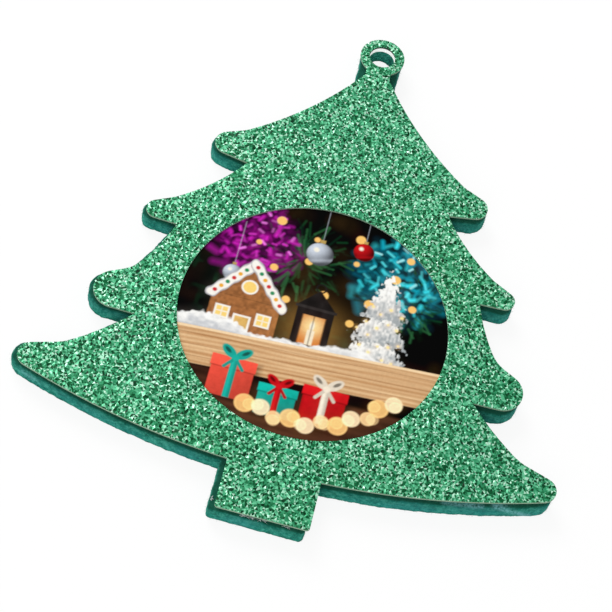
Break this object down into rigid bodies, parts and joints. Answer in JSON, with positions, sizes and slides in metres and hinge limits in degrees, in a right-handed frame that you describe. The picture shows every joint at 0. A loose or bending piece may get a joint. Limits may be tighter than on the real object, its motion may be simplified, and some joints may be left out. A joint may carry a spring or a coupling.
{
  "type": "picture frame ornament",
  "caption": "Flat fir-tree hanging ornament: green glitter face with a round picture window, card and picture disc behind it, a thick felt back and a hanging hole in a ring at the top.",
  "frame": {"origin": "centre of the hanging hole, at the felt's back face, on which the ornament lies", "axes": "+Z out of the picture side, +Y up the tree towards its ring, +X to the right as the picture is seen"},
  "size_m": [0.101, 0.1129, 0.0047],
  "materials": {
    "glitter_sheet": "coarse green glitter bonded to a card skin",
    "picture_disc": "satin printed picture",
    "backing_card": "plain white, matt",
    "felt_body": "thick needle felt, teal green"
  },
  "bodies": {
    "root": {"glitter_sheet": "glitter_sheet", "picture_disc": "picture_disc", "backing_card": "backing_card", "felt_body": "felt_body"}
  },
  "joints": []
}
